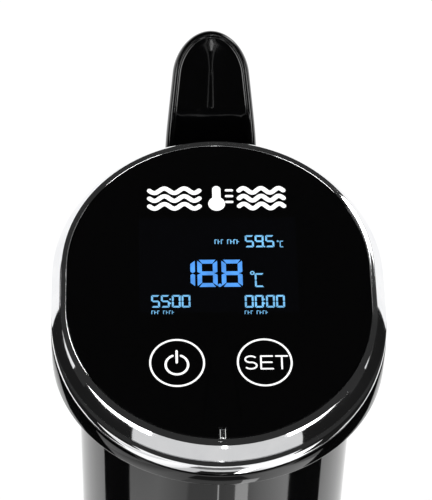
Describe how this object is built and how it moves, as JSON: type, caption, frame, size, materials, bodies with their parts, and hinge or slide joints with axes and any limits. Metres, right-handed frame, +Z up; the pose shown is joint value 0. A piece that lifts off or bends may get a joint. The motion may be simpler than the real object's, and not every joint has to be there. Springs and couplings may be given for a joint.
{
  "type": "sous vide circulator",
  "caption": "Clip-on sous vide circulator: round steel heater tube and base cap, gloss black handle, oval sloping display head and sprung pot clip.",
  "frame": {"origin": "middle of the flat base, on the axis of the tube", "axes": "+Z up along the tube to the head; the display slopes down towards -Y; the pot clip is on the +Y side; +X is to the right of someone facing the display"},
  "size_m": [0.074, 0.1229, 0.3744],
  "materials": {
    "black_gloss": "high-gloss black ABS",
    "black_matte": "fine-textured black nylon",
    "grey_plastic": "moulded grey plastic",
    "chrome": "bright chrome plating",
    "cover_glass": "back-printed black tempered glass",
    "steel_brushed": "brushed stainless steel",
    "steel_plain": "ground stainless steel",
    "heater_sheath": "heat-tinted stainless sheath",
    "zinc_screw": "zinc-plated steel",
    "aluminium": "extruded aluminium",
    "copper_wound": "yellow insulating tape over windings",
    "board": "green solder mask",
    "blue_case": "blue moulded case",
    "white_plastic": "natural white plastic",
    "bearing_bronze": "sintered bronze",
    "rubber_black": "black silicone rubber",
    "rubber_red": "red silicone rubber",
    "display_glass": "liquid crystal panel"
  },
  "bodies": {
    "housing": {"steel_sleeve": "steel_brushed", "pump_housing": "black_matte", "shaft_tube": "steel_plain", "lower_bush": "bearing_bronze", "heater_loop_left": "heater_sheath", "heater_loop_right": "heater_sheath", "temperature_probe": "steel_plain", "level_electrodes": "steel_plain", "bulkhead": "grey_plastic", "sleeve_seal": "rubber_red", "shaft_seal": "rubber_black", "upper_bearing": "steel_plain", "collar": "black_matte", "motor_mount": "grey_plastic", "motor_screws": "zinc_screw", "motor": "steel_plain", "inner_frame": "grey_plastic", "power_board": "board", "transformer": "copper_wound", "capacitors": "blue_case", "relay": "blue_case", "heatsink": "aluminium", "triac": "black_matte", "thermal_fuse": "white_plastic", "housing_left": "black_gloss", "housing_right": "black_gloss", "housing_screws": "zinc_screw", "cord_gland": "rubber_black", "head_shell": "black_gloss", "head_screws": "zinc_screw", "trim_band": "chrome", "bezel_ring": "chrome", "cover_glass": "cover_glass", "display_module": "display_glass", "display_gasket": "rubber_black", "display_board": "board", "board_screws": "zinc_screw", "touch_contacts": "rubber_black", "buzzer": "black_matte", "ribbon_cable": "white_plastic", "clip_bracket": "black_matte", "bracket_screws": "zinc_screw", "hinge_pin": "steel_plain", "clip_spring": "steel_plain", "body_pad": "rubber_black"},
    "lever": {"clip_lever": "black_gloss", "jaw_pad": "rubber_black"},
    "rotor": {"motor_shaft": "steel_plain", "shaft_coupling": "aluminium", "pump_shaft": "steel_plain", "impeller": "white_plastic", "cooling_fan": "black_matte"},
    "base": {"base_cap": "black_matte", "cap_lugs": "steel_plain"}
  },
  "joints": [
    {"name": "lever_hinge", "type": "hinge", "parent": "housing", "child": "lever", "pos_m": [0, 0.046, 0.2993], "axis": [1, 0, 0], "range_deg": [0, 12], "stiffness_Nm_per_rad": 1.5, "springref_deg": -6.88, "deforming": ["clip_spring"]},
    {"name": "rotor_spin", "type": "hinge", "parent": "housing", "child": "rotor", "pos_m": [0, 0, 0.18], "axis": [0, 0, 1], "continuous": true},
    {"name": "cap_twist", "type": "hinge", "parent": "housing", "child": "base", "pos_m": [0, 0, 0.008], "axis": [0, 0, 1], "range_deg": [0, 22]}
  ]
}
